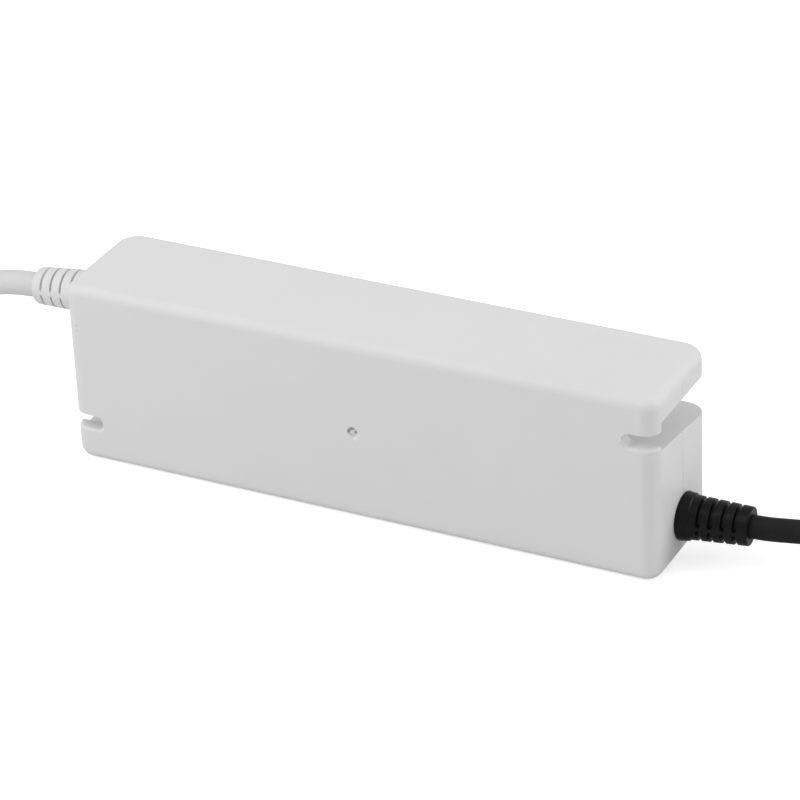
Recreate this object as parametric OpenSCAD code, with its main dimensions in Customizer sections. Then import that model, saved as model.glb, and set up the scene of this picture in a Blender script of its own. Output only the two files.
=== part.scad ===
// Plastic-cased LED driver with a ribbed cord boot at each end, standing on its long narrow side.
// Millimetres, +Z up, origin at the bottom centre of the housing, +X towards the output cord,
// -Y towards the mounting face.

/* [Housing] */
// Length of the housing between its end faces
body_l = 170; // [160:1:200]
// Depth from the mounting face to the back
body_d = 35; // [33:0.5:45]
// Height of the housing as it stands
body_h = 52; // [50:0.5:65]
// Thickness of the moulded walls
wall = 2.2; // [1.8:0.1:2.6]
// Radius of the upright edges beside the mounting face
front_corner_r = 4.4; // [3:0.1:6]
// Radius of the upright edges at the back
back_corner_r = 6.4; // [4:0.1:8]
// Radius of the edges round the top and the bottom
edge_r = 2.8; // [1.5:0.1:4]
// Distance of the seam behind the middle of the depth
seam_y = 0; // [-2:0.25:3]
// Height of the tongue that locates the two shells
tongue_h = 1.6; // [1:0.1:3]
// Clearance of the tongue in its rebate
lap_clear = 0.1; // [0.05:0.05:0.2]
// Diameter of the moulding gate's dimple
gate_d = 2.8; // [2:0.1:4]
// Depth of the moulding gate's dimple
gate_depth = 0.6; // [0.2:0.1:0.8]

/* [Mounting slots] */
// Width of the screw slot
slot_w = 4.2; // [4.1:0.1:5]
// Depth of the screw slot from the end face
slot_depth = 9.2; // [7:0.1:11]
// Distance of the slot's middle from the nearer long side
slot_edge = 11.6; // [11:0.1:16]
// Thickness of the flange that the screw clamps
flange_t = 4.3; // [3:0.1:6]
// Depth of the screw head's pocket from the end face
pocket_depth = 11.5; // [11:0.1:13]
// Pocket wall above the slot's middle, on the nearer side
pocket_near = 4.4; // [3.6:0.1:5]
// Pocket wall below the slot's middle, at the flange
pocket_far = 3.5; // [3.2:0.1:4.5]
// Slope of that far wall towards the back, in degrees
pocket_slope = 6; // [0:0.5:8]
// Thickness of the walls round the pocket
pocket_wall = 1.8; // [1.2:0.1:2.5]

/* [Boots] */
// Height of the mains boot's axis
mains_boot_z = 41.1; // [36:0.1:42]
// Height of the output boot's axis
output_boot_z = 11; // [9:0.1:14]
// Droop of the mains boot, in degrees
mains_boot_tilt = 4; // [0:0.5:6]
// Swing of the output boot towards the back, in degrees
output_boot_tilt = 5; // [0:0.5:6]
// Length of a boot outside the housing
boot_l = 18.2; // [16:0.1:24]
// Diameter of the plain collar against the housing
collar_d = 12.4; // [11:0.1:13]
// Length of the plain collar
collar_l = 2.2; // [2:0.1:4.5]
// Diameter of the ribbed body next to the collar
boot_d = 11.7; // [10.5:0.1:12]
// Diameter of the boot at its free end
boot_tip_d = 10.2; // [9.4:0.1:10.4]
// Number of flex grooves along a boot
groove_count = 4; // [2:1:4]
// Spacing of the flex grooves
groove_pitch = 3.15; // [2.8:0.05:3.5]
// Distance of the last groove from the free end
groove_end = 3.3; // [1.5:0.1:4]
// Width of a flex groove
groove_w = 0.8; // [0.6:0.1:1.4]
// Depth of a flex groove
groove_depth = 1.1; // [0.6:0.1:1.2]
// Width of the two webs that bridge the grooves
web_w = 1.1; // [0.8:0.1:2]
// Diameter of the neck that passes through the end wall
neck_d = 9; // [8:0.1:10]
// Diameter of the flange that holds the boot from inside
boot_flange_d = 12; // [11:0.1:13]
// Thickness of that flange
boot_flange_t = 2; // [1.2:0.1:3]
// Clearance of the neck in the end wall
neck_clear = 0.1; // [0.05:0.05:0.3]
// Depth of the funnel round the cord at the free end
tip_recess = 1.6; // [0.4:0.1:2]
// Gap round the cord at the funnel's mouth
tip_gap = 1; // [0.1:0.1:1.2]
// Bevel of the free end's rim
tip_bevel = 0.4; // [0.2:0.1:1]

/* [Cords] */
// Diameter of the mains cord
mains_cord_d = 6.8; // [6:0.1:7.4]
// Diameter of the output cord
output_cord_d = 6.2; // [5:0.1:7]
// Diameter of an insulated core
core_d = 2.3; // [1.8:0.1:2.4]
// Diameter of a tinned core end
tip_d = 1.1; // [0.8:0.1:1.4]
// Length of a tinned core end
tip_l = 8; // [5:1:12]

/* [Circuit board] */
// Thickness of the board
board_t = 1.6; // [1:0.2:2]
// Height of the bosses that carry the board
boss_h = 3.3; // [2.5:0.1:4]
// Diameter of the bosses
boss_d = 6; // [5.4:0.1:7]
// Distance of the board's edge from the walls
board_clear = 1.6; // [1:0.1:2.5]
// Distance of the bosses from the board's ends
boss_inset = 4; // [3.5:0.1:6]
// Distance of the bosses from the board's long sides
boss_side = 5; // [4:0.1:6]
// Diameter of the board screws' shanks
screw_d = 2.2; // [2:0.1:2.5]
// Diameter of the board screws' heads
screw_head_d = 4.6; // [4:0.1:5.5]
// Height of the board screws' heads
screw_head_h = 1.7; // [1.2:0.1:2.2]
// Clearance of the screws in their holes
screw_clear = 0.15; // [0.05:0.05:0.3]
// Gap between the wires' pads, and between them and the screws
pad_gap = 1.7; // [1:0.1:2.5]

/* [Components] */
// Diameter of the bulk capacitor
bulk_d = 18; // [16:0.5:19]
// Height of the bulk capacitor
bulk_h = 22; // [18:0.5:23]
// Diameter of an output capacitor
out_cap_d = 10; // [8:0.5:10.5]
// Height of an output capacitor
out_cap_h = 18; // [14:0.5:21]
// Width of the transformer's core
core_w = 22; // [21:0.5:24]
// Height of the transformer's core
core_h = 18.6; // [17:0.1:19]
// Thickness of the transformer's core
core_t = 7; // [6:0.5:8]
// Thickness of the core's yokes and outer legs
core_leg = 3; // [2.6:0.1:3.2]
// Height of the bobbin's foot
bobbin_foot = 3.4; // [3:0.1:3.6]
// Thickness of the heatsink plates
sink_t = 2; // [1.5:0.1:2.5]
// Height of the heatsinks
sink_h = 20; // [18:0.5:22]
// Length of the heatsinks
sink_l = 26; // [22:0.5:30]
// Clearance between parts that fit in each other
part_clear = 0.1; // [0.05:0.05:0.2]

/* [Hidden] */
$fn = 64;

// Colours of the mouldings, cords and components
white = "#e4e4e4";
cord_white = "#e2e2e2";
black = "#202020";
brown = "#6b4226";
blue = "#2a62b0";
green = "#5a9a3a";
red = "#b02020";
tin = "#c8c8c8";
board_green = "#1f5a34";
ferrite = "#303234";
copper = "#b06a34";
aluminium = "#b8bcc0";

// Faces of the housing and of its inside
front_y = -body_d / 2;
back_y = body_d / 2;
inner_front_y = front_y + wall;
half_wall = wall / 2;
least_r = 0.3;
over = 1;

// Faces and outline of the board
board_front_y = inner_front_y + boss_h;
board_face_y = board_front_y + board_t;
board_l = body_l - 2 * (pocket_depth + pocket_wall + board_clear);
board_h = body_h - 2 * (wall + board_clear);
board_bottom_z = wall + board_clear;
pad_x = board_l / 2 - boss_inset;
low_boss_z = board_bottom_z + boss_side;
high_boss_z = board_bottom_z + board_h - boss_side;
first_pad = (screw_head_d + core_d) / 2 + pad_gap;
next_pad = core_d + pad_gap;

// Inner face of a boot's flange, and the places of the cores inside a cord
flange_face = body_l / 2 - wall - boot_flange_t;
lay_y = 1.25;
lay_low = 0.72;
lay_high = 1.45;

// Routes of the cords from their boots to the surface and round in an open bend.
// Each row holds the distance out, the distance back and the height as a share of the boot's height.
mains_rows = [
    [1, 0, 0.998], [8, 0, 0.983], [14, 0, 0.955], [20, 0.4, 0.9], [26, 1.3, 0.815], [31, 2.6, 0.7],
    [35, 4, 0.575], [39, 5.6, 0.44], [43, 7.4, 0.31], [48, 9.7, 0.185], [54, 12.3, 0.085], [60, 14.3, 0.025],
    [66, 15.3, 0.003], [72, 15.5, 0], [79.7, 14.4, 0], [88.5, 10, 0], [94, 4.5, 0], [98.4, -4.3, 0],
    [99.5, -12, 0], [98.4, -19.7, 0], [94, -28.5, 0], [88.5, -34, 0], [79.7, -38.4, 0], [72, -39.5, 0],
    [65, -39.5, 0], [58, -39.5, 0]
];
output_rows = [
    [1, 0.1, 1], [6, 0.6, 1], [11, 1.8, 0.995], [16, 3.3, 0.97], [22, 5.2, 0.89], [29, 7.4, 0.72],
    [37, 9.5, 0.47], [45, 11, 0.22], [53, 11.8, 0.06], [61, 12, 0], [70, 12, 0], [77, 11, 0], [85, 7, 0],
    [90, 2, 0], [94, -6, 0], [95, -13, 0], [94, -20, 0], [90, -28, 0], [85, -33, 0], [77, -37, 0],
    [70, -38, 0], [66, -38, 0]
];
mains_start = [-body_l / 2, seam_y, mains_boot_z]
    + (boot_l - tip_recess) * [-cos(mains_boot_tilt), 0, -sin(mains_boot_tilt)];
output_start = [body_l / 2, seam_y, output_boot_z]
    + (boot_l - tip_recess) * [cos(output_boot_tilt), sin(output_boot_tilt), 0];
mains_route = route(mains_start, -1, mains_cord_d / 2, mains_rows);
output_route = route(output_start, 1, output_cord_d / 2, output_rows);
mains_end = mains_route[len(mains_route) - 1];
output_end = output_route[len(output_route) - 1];

// Stripped cores, in rows of the same kind from the cord's end face down to the surface
live_rows = [[3, 0, 1], [9, 0.2, 0.7], [15, 0.8, 0.25], [21, 1.4, 0], [28, 1.6, 0], [35, 1.6, 0]];
neutral_rows = [[3, 0, 1], [9, -0.1, 0.3], [15, -0.3, 0], [21, -0.4, 0], [28, -0.4, 0], [35, -0.4, 0]];
earth_rows = [[3, 0, 1], [9, 1, 0.3], [15, 2.2, 0], [21, 3.2, 0], [28, 3.8, 0], [35, 4, 0]];
positive_rows = [[3, 0, 1], [9, 0.8, 0.4], [14, 1.8, 0], [19, 2.2, 0], [24, 2.2, 0]];
negative_rows = [[3, 0, 1], [9, -0.8, 0.4], [14, -1.8, 0], [19, -2.2, 0], [24, -2.2, 0]];

// Places of the components, from the middle of the board
fuse_at = [-54, 12];
varistor_at = [-55, 1];
thermistor_at = [-57, -9];
x_capacitor_at = [-45, 10.2];
choke_at = [-44.5, -12];
bridge_at = [-28, 17];
bulk_at = [-26, -9];
transistor_sink_at = [-11, 0];
transformer_at = [8, 0];
y_capacitor_at = [8, 17];
chip_at = [-2, -16.5];
optocoupler_at = [11, -16.5];
diode_sink_at = [27, 0];
out_cap_at = [[40, -12], [40, 0], [40, 12]];
inductor_at = [53, 6];
resistor_at = [[-6, 18], [-42, -0.8], [19.5, 18], [53, 16]];
resistor_d = 2.4;
resistor_l = 6.4;
resistor_lead_d = 0.6;
resistor_span = 9;
resistor_lift = resistor_d / 2 + 0.3;
lead_d = 0.8;
lead_lift = 1.6;

// Points of a cord from its start, out along side, coming down to its radius above the surface
function route(start, side, floor_z, rows) = concat([start], [
    for (row = rows)
        [start[0] + side * row[0], start[1] + row[1], floor_z + row[2] * (start[2] - floor_z)]
]);

// A direction of unit length
function unit(v) = v / norm(v);

// Direction of a line of points at point i
function heading(points, i) =
    unit(points[min(i + 1, len(points) - 1)] - points[max(i - 1, 0)]);

// One ring of corners round a line of points at point i, level with the surface
function ring(points, i, r, sides) =
    let (t = heading(points, i), across = unit(cross(t, [0, 0, 1])), upward = cross(across, t))
    [for (k = [0 : sides - 1])
        points[i] + r * (cos(360 * k / sides) * across + sin(360 * k / sides) * upward)];

// The same radius at each of a line of points
function even(points, r) = [for (p = points) r];

// Round tube swept along a line of points with a radius at each, closed at both ends
module tube(points, radii, sides) {
    n = len(points);
    corners = [for (i = [0 : n - 1]) each ring(points, i, radii[i], sides)];
    start = [for (k = [0 : sides - 1]) k];
    end = [for (k = [sides - 1 : -1 : 0]) (n - 1) * sides + k];
    walls = [for (i = [0 : n - 2], k = [0 : sides - 1], half = [0, 1])
        let (a = i * sides + k, b = i * sides + (k + 1) % sides)
        half == 0 ? [a, a + sides, b] : [b, a + sides, b + sides]];
    polyhedron(corners, concat([start], walls, [end]), convexity = 10);
}

// Rectangle with round corners, centred
module round_rect(w, h, r) {
    square([w - 2 * r, h], center = true);
    square([w, h - 2 * r], center = true);
    for (x = [-1, 1], y = [-1, 1])
        translate([x * (w / 2 - r), y * (h / 2 - r)]) circle(r);
}

// Upright post with round ends, which makes one rounded corner of the housing
module corner_post(r, h, e) {
    rotate_extrude() intersection() {
        round_rect(2 * r, h, e);
        translate([0, -h]) square([2 * r, 2 * h]);
    }
}

// Rounded block of the housing, shrunk on every side by inset
module housing_form(inset = 0) {
    l = body_l - 2 * inset;
    d = body_d - 2 * inset;
    h = body_h - 2 * inset;
    e = max(edge_r - inset, least_r);
    front_r = max(front_corner_r - inset, e + least_r);
    back_r = max(back_corner_r - inset, front_r);
    translate([0, 0, body_h / 2]) {
        for (x = [-1, 1]) {
            translate([x * (l / 2 - front_r), front_r - d / 2, 0]) corner_post(front_r, h, e);
            translate([x * (l / 2 - back_r), d / 2 - back_r, 0]) corner_post(back_r, h, e);
        }
        rotate([90, 0, 90])
            linear_extrude(l - 2 * back_r, center = true)
                round_rect(d, h, e);
        rotate([90, 0, 90])
            linear_extrude(l - 2 * front_r, center = true)
                intersection() {
                    round_rect(d, h, e);
                    translate([-d, -h]) square([d / 2 + front_r, 2 * h]);
                }
        translate([0, d / 2 - back_r, 0])
            rotate([90, 0, 0])
                linear_extrude(d - back_r - front_r)
                    round_rect(l, h, e);
    }
}

// Slab between two depths, wider than the housing
module slab(y0, y1) {
    translate([-body_l, y0, -body_h]) cube([2 * body_l, y1 - y0, 3 * body_h]);
}

// Children at the output end, and again turned half round for the mains end
module at_both_ends() {
    children();
    translate([0, 0, body_h / 2]) rotate([0, 180, 0]) translate([0, 0, -body_h / 2]) children();
}

// Height of the slot's middle at the output end
slot_z = body_h - slot_edge;

// Far wall of the pocket at a depth
function pocket_floor(y) = slot_z - pocket_far - (y - front_y - flange_t) * tan(pocket_slope);

// Pocket for the screw head, open at the end face and at the back, grown on every side by grow
module pocket(y0, y1, grow = 0) {
    depth = pocket_depth + grow;
    low = grow / cos(pocket_slope);
    translate([body_l / 2 - depth, 0, 0])
        rotate([90, 0, 90])
            linear_extrude(depth + over)
                polygon([
                    [y0, pocket_floor(y0) - low], [y1, pocket_floor(y1) - low],
                    [y1, slot_z + pocket_near + grow], [y0, slot_z + pocket_near + grow]
                ]);
}

// Solid block that the pocket and the screw flange are cut from
module pocket_blocks(grow = 0) {
    at_both_ends() pocket(front_y - over, back_y + over, pocket_wall + grow);
}

// Open pockets and screw slots of both ends
module mounting_cuts() {
    slot_x = body_l / 2 - slot_depth + slot_w / 2;
    at_both_ends() {
        pocket(front_y + flange_t, back_y + over);
        translate([0, front_y + flange_t + over, slot_z])
            rotate([90, 0, 0])
                linear_extrude(flange_t + 2 * over) {
                    translate([slot_x, 0]) circle(d = slot_w);
                    translate([slot_x, -slot_w / 2]) square([body_l / 2 - slot_x + over, slot_w]);
                }
    }
}

// Walls of the whole housing, before it is parted at the seam
module hollow_housing() {
    difference() {
        housing_form();
        housing_form(wall);
    }
    intersection() {
        housing_form();
        pocket_blocks();
    }
}

// Children at each boot's exit, lying along +X out of the housing
module at_mains_exit() {
    translate([-body_l / 2, seam_y, mains_boot_z]) rotate([0, 0, 180]) children();
}
module at_output_exit() {
    translate([body_l / 2, seam_y, output_boot_z]) children();
}

// Holes in the end walls for the boots' necks
module neck_holes() {
    hole_l = wall + 2 * over;
    hole_d = neck_d + 2 * neck_clear;
    at_mains_exit() translate([-wall - over, 0, 0]) rotate([0, 90, 0]) cylinder(d = hole_d, h = hole_l);
    at_output_exit() translate([-wall - over, 0, 0]) rotate([0, 90, 0]) cylinder(d = hole_d, h = hole_l);
}

// Room for the boots' flanges, where the tongue stops
module flange_room() {
    room_d = boot_flange_d + 4 * lap_clear;
    room_l = wall + boot_flange_t;
    at_mains_exit() translate([-room_l, 0, 0]) rotate([0, 90, 0]) cylinder(d = room_d, h = room_l);
    at_output_exit() translate([-room_l, 0, 0]) rotate([0, 90, 0]) cylinder(d = room_d, h = room_l);
}

// Places of the board's screws, as children along +Y from the front wall's inside
module at_bosses() {
    for (x = [-1, 1], z = [low_boss_z, high_boss_z])
        translate([x * (board_l / 2 - boss_inset), inner_front_y, z]) rotate([-90, 0, 0]) children();
}

// Dimple and nub that the moulding gate leaves in the middle of the mounting face
module gate_mark() {
    translate([0, front_y, body_h / 2]) rotate([-90, 0, 0]) difference() {
        translate([0, 0, -over]) cylinder(d = gate_d, h = gate_depth + over);
        cylinder(d = gate_d / 3, h = gate_depth + over);
    }
}

// Front shell with the mounting face, the screw flanges and the board's bosses
module base_shell() {
    color(white) difference() {
        union() {
            intersection() {
                hollow_housing();
                slab(front_y - over, seam_y);
            }
            difference() {
                intersection() {
                    housing_form(half_wall + lap_clear);
                    slab(seam_y - half_wall, seam_y + tongue_h);
                }
                housing_form(wall);
                pocket_blocks(lap_clear);
                flange_room();
            }
            at_bosses() translate([0, 0, -half_wall]) cylinder(d = boss_d, h = boss_h + half_wall);
        }
        mounting_cuts();
        neck_holes();
        gate_mark();
        at_bosses() cylinder(d = screw_d + 2 * screw_clear, h = boss_h + over);
    }
}

// Back shell, with the rebate that takes the tongue
module cover_shell() {
    color(white) difference() {
        intersection() {
            hollow_housing();
            slab(seam_y, back_y + over);
        }
        difference() {
            intersection() {
                housing_form(half_wall);
                slab(seam_y - over, seam_y + tongue_h + lap_clear);
            }
            pocket_blocks();
        }
        mounting_cuts();
        neck_holes();
    }
}

// Flex grooves of a boot, cut all round apart from two webs
module boot_grooves() {
    core = boot_tip_d - 2 * groove_depth;
    difference() {
        for (i = [0 : groove_count - 1])
            translate([0, 0, boot_l - groove_end - i * groove_pitch - groove_w / 2])
                difference() {
                    cylinder(d = collar_d + 2 * over, h = groove_w);
                    translate([0, 0, -over]) cylinder(
                        d = core + 2 * i * groove_pitch * (boot_d - boot_tip_d) / 2 / (boot_l - collar_l),
                        h = groove_w + 2 * over);
                }
        translate([-web_w / 2, -collar_d, -over]) cube([web_w, 2 * collar_d, boot_l + 2 * over]);
    }
}

// Boot along +X: ribbed outside part at a tilt, neck through the wall and holding flange inside
module boot(cord_d, droop, swing) {
    intersection() {
        rotate([0, droop, swing]) rotate([0, 90, 0]) difference() {
            union() {
                translate([0, 0, -over]) cylinder(d = collar_d, h = collar_l + over);
                translate([0, 0, collar_l])
                    cylinder(d1 = boot_d, d2 = boot_tip_d, h = boot_l - tip_bevel - collar_l);
                translate([0, 0, boot_l - tip_bevel])
                    cylinder(d1 = boot_tip_d, d2 = boot_tip_d - 2 * tip_bevel, h = tip_bevel);
            }
            boot_grooves();
            translate([0, 0, boot_l - tip_recess])
                cylinder(d1 = cord_d, d2 = cord_d + 2 * tip_gap, h = tip_recess);
            translate([0, 0, boot_l]) cylinder(d = cord_d + 2 * tip_gap, h = over);
        }
        translate([0, -boot_l, -boot_l]) cube(2 * boot_l);
    }
    rotate([0, -90, 0]) cylinder(d = neck_d, h = wall + boot_flange_t);
    translate([-wall, 0, 0]) rotate([0, -90, 0]) cylinder(d = boot_flange_d, h = boot_flange_t);
}

module mains_boot() {
    color(cord_white) at_mains_exit() boot(mains_cord_d, mains_boot_tilt, 0);
}

module output_boot() {
    color(black) at_output_exit() boot(output_cord_d, 0, output_boot_tilt);
}

module mains_cord() {
    color(cord_white) tube(mains_route, even(mains_route, mains_cord_d / 2), 12);
}

module output_cord() {
    color(black) tube(output_route, even(output_route, output_cord_d / 2), 12);
}

// Stripped core: insulation along a line of points, then a thinner tinned end
module core_end(points) {
    last = points[len(points) - 1];
    tip = last + tip_l * heading(points, len(points) - 1);
    radii = concat(even(points, core_d / 2), even([last, tip], tip_d / 2));
    tube(concat(points, [last, tip]), radii, 8);
}

module mains_live_end() {
    color(brown) core_end(route(mains_end + [0, 0, lay_high], 1, core_d / 2, live_rows));
}

module mains_neutral_end() {
    color(blue) core_end(route(mains_end - [0, lay_y, lay_low], 1, core_d / 2, neutral_rows));
}

module mains_earth_end() {
    color(green) core_end(route(mains_end + [0, lay_y, -lay_low], 1, core_d / 2, earth_rows));
}

module output_positive_end() {
    color(red) core_end(route(output_end + [0, lay_y, 0], -1, core_d / 2, positive_rows));
}

module output_negative_end() {
    color(black) core_end(route(output_end - [0, lay_y, 0], -1, core_d / 2, negative_rows));
}

module circuit_board() {
    color(board_green) difference() {
        translate([-board_l / 2, board_front_y, board_bottom_z]) cube([board_l, board_t, board_h]);
        at_bosses() cylinder(d = screw_d + 2 * screw_clear, h = boss_h + board_t + over);
    }
}

// Four pan-head screws through the board into the bosses
module board_screws() {
    color(tin) at_bosses() translate([0, 0, boss_h + board_t]) {
        cylinder(d = screw_head_d, h = screw_head_h);
        translate([0, 0, -board_t - boss_h]) cylinder(d = screw_d, h = boss_h + board_t);
    }
}

// Wire from a boot's flange across to its pad on the board
module inner_wire(side, exit_z, pad_z) {
    x0 = side * flange_face;
    x1 = side * (pad_x + flange_face) / 2;
    x2 = side * pad_x;
    points = [
        [x0, seam_y, exit_z], [x0 - side * 2, seam_y, exit_z],
        [x1, (seam_y * 3 + board_face_y) / 4, (exit_z + pad_z) / 2],
        [x2 + side * 2, (seam_y + board_face_y * 2) / 3, pad_z],
        [x2, board_face_y + 2, pad_z], [x2, board_face_y, pad_z]
    ];
    tube(points, even(points, core_d / 2), 8);
}

module live_wire() {
    color(brown) inner_wire(-1, mains_boot_z + 2 * lay_high, high_boss_z - first_pad);
}

module neutral_wire() {
    color(blue) inner_wire(-1, mains_boot_z, high_boss_z - first_pad - next_pad);
}

module earth_wire() {
    color(green) inner_wire(-1, mains_boot_z - 2 * lay_high, high_boss_z - first_pad - 2 * next_pad);
}

module positive_wire() {
    color(red) inner_wire(1, output_boot_z + lay_high, low_boss_z + first_pad + next_pad);
}

module negative_wire() {
    color(black) inner_wire(1, output_boot_z - lay_high, low_boss_z + first_pad);
}

// Children standing on the board's component side at a place, with their own +Z away from the board
module on_board(at) {
    translate([at[0], board_face_y, body_h / 2 + at[1]]) rotate([-90, 0, 0]) children();
}

// Disc on two leads, standing on edge, with its axis along X
module disc_part(d, t, pitch) {
    translate([0, 0, d / 2 + lead_lift]) rotate([0, 90, 0]) cylinder(d = d, h = t, center = true);
    for (y = [-1, 1])
        translate([0, y * pitch / 2, 0]) cylinder(d = lead_d, h = lead_lift + d / 2);
}

// Can with a bead near its foot and a bevelled top
module can(d, h) {
    r = d / 2;
    bead = 0.5;
    rotate_extrude() polygon([
        [0, 0], [r - bead, 0], [r, bead], [r, 2], [r - bead, 2.6], [r, 3.2],
        [r, h - bead], [r - bead, h], [0, h]
    ]);
}

// Ring of rectangular section, part of a turn
module ring_part(r0, r1, h, turn = 360) {
    rotate_extrude(angle = turn) translate([r0, 0]) square([r1 - r0, h]);
}

module fuse() {
    color("#3a3a3a") on_board(fuse_at) {
        translate([0, 0, lead_lift]) cylinder(d = 8.4, h = 7.8);
        for (x = [-1, 1])
            translate([x * 2.54, 0, 0]) cylinder(d = lead_d, h = lead_lift + over);
    }
}

module varistor() {
    color("#2f5fa8") on_board(varistor_at) disc_part(9, 3.8, 5);
}

module thermistor() {
    color("#33563c") on_board(thermistor_at) disc_part(8.5, 4, 5);
}

module x_capacitor() {
    color("#c8a832") on_board(x_capacitor_at) translate([-4, -9, 0]) cube([8, 18, 14]);
}

// Ring core of the common-mode choke, lying on its windings
choke_lift = 1.2;
choke_r0 = 4.5;
choke_r1 = 8;
choke_h = 7;
choke_wire = 0.9;
module choke_core() {
    color("#4a6a4a") on_board(choke_at) translate([0, 0, choke_lift]) ring_part(choke_r0, choke_r1, choke_h);
}

// Two windings round the ring core, one each side
module choke_windings() {
    gap = part_clear;
    inner_h = choke_h + 2 * gap;
    outer_h = inner_h + 2 * choke_wire;
    wire_r = choke_r1 + (choke_wire + gap) / 2;
    wire_d = choke_wire - 3 * gap;
    color(copper) on_board(choke_at) for (a = [20, 200]) rotate([0, 0, a]) {
        difference() {
            translate([0, 0, choke_lift - choke_wire - gap])
                ring_part(choke_r0 - choke_wire, choke_r1 + choke_wire, outer_h, 140);
            translate([0, 0, choke_lift - gap])
                rotate([0, 0, -5]) ring_part(choke_r0 - gap, choke_r1 + gap, inner_h, 150);
        }
        for (b = [15, 125])
            rotate([0, 0, b]) translate([wire_r, 0, 0]) cylinder(d = wire_d, h = choke_lift + over);
    }
}

module bridge_rectifier() {
    lift = 3;
    color(black) on_board(bridge_at) {
        translate([-7.2, -1.8, lift]) cube([14.4, 3.6, 10.5]);
        for (i = [-1.5, -0.5, 0.5, 1.5])
            translate([i * 3.8 - 0.4, -0.3, 0]) cube([0.8, 0.6, lift + over]);
    }
}

module bulk_capacitor() {
    color("#26304a") on_board(bulk_at) can(bulk_d, bulk_h);
}

// Comb-shaped heatsink standing on the board, its flat side towards +X
module heatsink(at) {
    fin_l = 3.4;
    fin_t = 1.2;
    fins = 4;
    hole_d = 3.2;
    color(aluminium) difference() {
        on_board(at) linear_extrude(sink_h) {
            translate([-sink_t, -sink_l / 2]) square([sink_t, sink_l]);
            for (i = [0 : fins - 1])
                translate([-sink_t - fin_l, -sink_l / 2 + i * (sink_l - fin_t) / (fins - 1)])
                    square([fin_l + over / 2, fin_t]);
        }
        on_board(at) translate([over, 0, tab_hole_h]) rotate([0, -90, 0])
            cylinder(d = hole_d, h = sink_t + 2 * over);
    }
}

// Power part with a metal tab, flat against a heatsink
tab_t = 1.3;
tab_hole_h = 15.5;
tab_hole_d = 3.6;
tab_screw_d = 3;
module tab_part(at) {
    body_w = 10;
    body_lift = 3.5;
    body_t = 4.4;
    color(black) on_board(at) difference() {
        union() {
            translate([0, -body_w / 2, body_lift]) cube([body_t, body_w, 9]);
            translate([0, -body_w / 2, body_lift]) cube([tab_t, body_w, 15.4]);
            for (y = [-2.54, 0, 2.54])
                translate([1.6, y - 0.4, 0]) cube([0.6, 0.8, body_lift + over]);
        }
        translate([-over, 0, tab_hole_h]) rotate([0, 90, 0]) cylinder(d = tab_hole_d, h = tab_t + 2 * over);
    }
}

// Screw that clamps a tab to its heatsink
module tab_screw(at) {
    color(tin) on_board(at) translate([tab_t, 0, tab_hole_h]) rotate([0, 90, 0]) {
        cylinder(d = 5.6, h = 2);
        translate([0, 0, -tab_t - sink_t - 1]) cylinder(d = tab_screw_d, h = tab_t + sink_t + 1 + over);
    }
}

module transistor_heatsink() {
    heatsink(transistor_sink_at);
}

module switching_transistor() {
    tab_part(transistor_sink_at);
}

module transistor_screw() {
    tab_screw(transistor_sink_at);
}

module diode_heatsink() {
    heatsink(diode_sink_at);
}

module output_diode() {
    tab_part(diode_sink_at);
}

module diode_screw() {
    tab_screw(diode_sink_at);
}

// Inside sizes of the transformer
leg_w = 2 * core_leg;
window_low = bobbin_foot + core_leg;
window_high = bobbin_foot + core_h - core_leg;
winding_r = core_w / 2 - core_leg - 3 * part_clear;
spool_r = norm([leg_w, core_t]) / 2 + 0.8;
cheek_t = 1;

// Half of the transformer's core: a yoke with a middle leg and two outer legs, pointing up
module core_half() {
    half = core_h / 2;
    rotate([90, 0, 0]) linear_extrude(core_t, center = true) {
        translate([-core_w / 2, 0]) square([core_w, core_leg]);
        for (x = [-core_w / 2, core_w / 2 - core_leg])
            translate([x, 0]) square([core_leg, half]);
        translate([-leg_w / 2, 0]) square([leg_w, half]);
    }
}

module transformer_core_lower() {
    color(ferrite) on_board(transformer_at) translate([0, 0, bobbin_foot]) core_half();
}

module transformer_core_upper() {
    color(ferrite) on_board(transformer_at) translate([0, 0, bobbin_foot + core_h])
        mirror([0, 0, 1]) core_half();
}

// Spool round the middle leg, with cheeks and a foot that carries the core
module transformer_bobbin() {
    low = window_low + part_clear;
    high = window_high - part_clear;
    side_y = core_t / 2 + part_clear;
    color("#c9bfa4") on_board(transformer_at) {
        difference() {
            union() {
                translate([0, 0, low]) cylinder(r = spool_r, h = high - low);
                translate([0, 0, low]) cylinder(r = winding_r, h = cheek_t);
                translate([0, 0, high - cheek_t]) cylinder(r = winding_r, h = cheek_t);
            }
            cube([leg_w + 2 * part_clear, core_t + 2 * part_clear, 4 * core_h], center = true);
        }
        translate([-core_w / 2, -winding_r, 0]) cube([core_w, 2 * winding_r, bobbin_foot]);
        for (s = [-1, 1])
            translate([-leg_w / 2, s > 0 ? side_y : -side_y - 1.5, bobbin_foot - over])
                cube([leg_w, 1.5, low - bobbin_foot + over + cheek_t]);
    }
}

module transformer_winding() {
    low = window_low + part_clear + cheek_t;
    high = window_high - part_clear - cheek_t;
    color("#d8c24a") on_board(transformer_at) translate([0, 0, low])
        ring_part(spool_r, winding_r - 0.4, high - low);
}

module y_capacitor() {
    color("#3d6fb5") on_board(y_capacitor_at) rotate([0, 0, 90]) disc_part(7.5, 4, 5);
}

// Small package with two rows of legs that stand on the board
module chip(l, w, h, legs) {
    lift = 1;
    translate([-l / 2, -w / 2, lift]) cube([l, w, h]);
    for (i = [0 : legs - 1], s = [-1, 1])
        translate([(i - (legs - 1) / 2) * 2.54 - 0.3, s * (w / 2 + 0.3) - 0.4, 0])
            cube([0.6, 0.8, lift + h / 2]);
}

module optocoupler() {
    color("#e0e0dc") on_board(optocoupler_at) chip(4.6, 6.4, 3.4, 2);
}

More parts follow.
